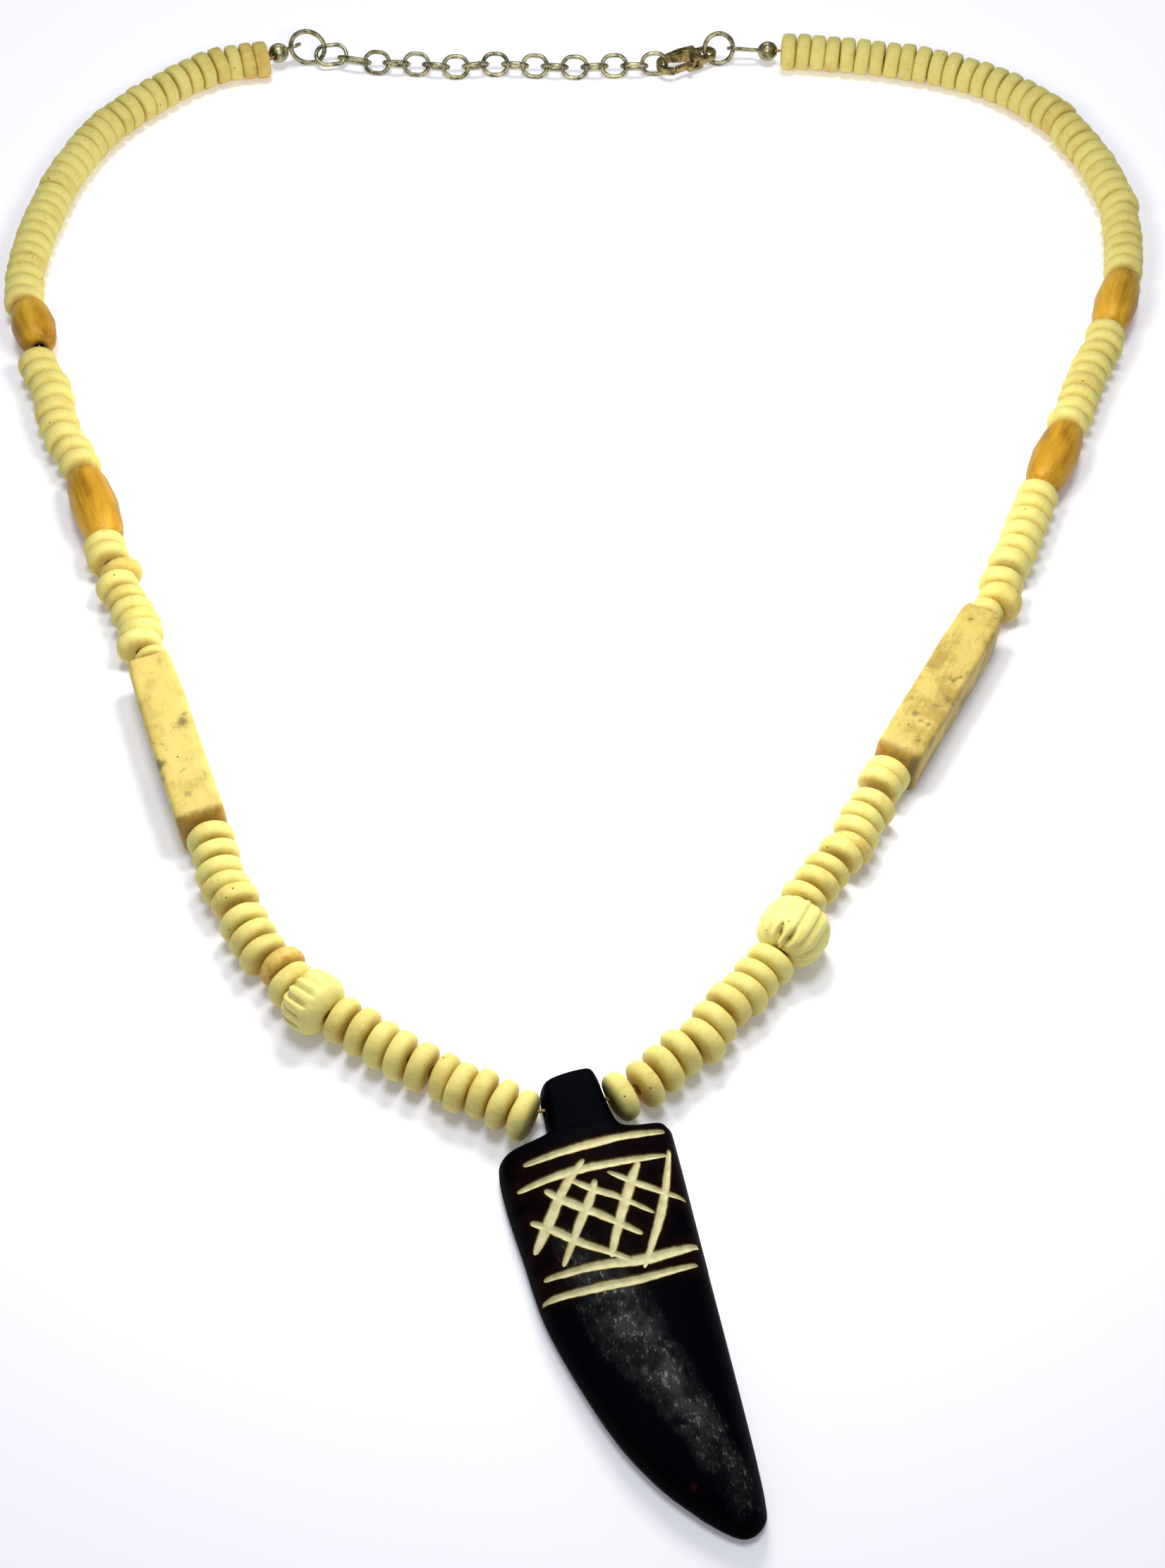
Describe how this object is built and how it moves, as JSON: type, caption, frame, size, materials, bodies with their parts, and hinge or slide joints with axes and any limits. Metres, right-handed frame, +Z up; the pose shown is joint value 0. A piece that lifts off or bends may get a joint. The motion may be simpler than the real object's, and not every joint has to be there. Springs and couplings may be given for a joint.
{
  "type": "bead necklace",
  "caption": "Bead necklace in a closed loop: small round beads, ovals, bar and fluted beads, a curved pendant with carved crosshatch, and a link chain with a lobster clasp.",
  "frame": {"origin": "middle of the laid-out necklace's plan, on the surface that it lies on", "axes": "+Z up from the surface, +Y from the pendant towards the clasp, +X to the right in the picture"},
  "size_m": [0.1802, 0.2532, 0.0084],
  "materials": {
    "bone": "matte, smooth bone or shell-like bead",
    "wood": "glossy lacquered wood",
    "horn": "satin polished dark horn",
    "cord": "waxed thread",
    "metal": "dull antique nickel plating",
    "clasp": "dull antique brass"
  },
  "bodies": {
    "necklace": {"pendant": "horn", "thread": "cord", "beads_left_1": "bone", "beads_left_2": "bone", "beads_left_3": "bone", "beads_left_4": "bone", "beads_left_5": "bone", "beads_right_1": "bone", "beads_right_2": "bone", "beads_right_3": "bone", "beads_right_4": "bone", "beads_right_5": "bone", "oval_bead_left_1": "wood", "oval_bead_left_2": "wood", "oval_bead_right_1": "wood", "oval_bead_right_2": "wood", "bar_bead_left": "bone", "bar_bead_right": "bone", "melon_bead_left": "bone", "melon_bead_right": "bone", "bead_tip_left": "metal", "bead_tip_right": "metal", "jump_ring_left": "metal", "jump_ring_right": "metal", "chain_link_01": "metal", "chain_link_02": "metal", "chain_link_03": "metal", "chain_link_04": "metal", "chain_link_05": "metal", "chain_link_06": "metal", "chain_link_07": "metal", "chain_link_08": "metal", "chain_link_09": "metal", "chain_link_10": "metal", "chain_link_11": "metal", "chain_link_12": "metal", "chain_link_13": "metal", "chain_link_14": "metal", "chain_link_15": "metal", "chain_link_16": "metal", "chain_link_17": "metal", "clasp_body": "clasp"},
    "lever": {"clasp_lever": "metal"}
  },
  "joints": [
    {"name": "lever_hinge", "type": "hinge", "parent": "necklace", "child": "lever", "pos_m": [0.02047, 0.1225, 0.0019], "axis": [0, 0, -1], "range_deg": [0, 20], "stiffness_Nm_per_rad": 0.001, "springref_deg": -20.05}
  ]
}
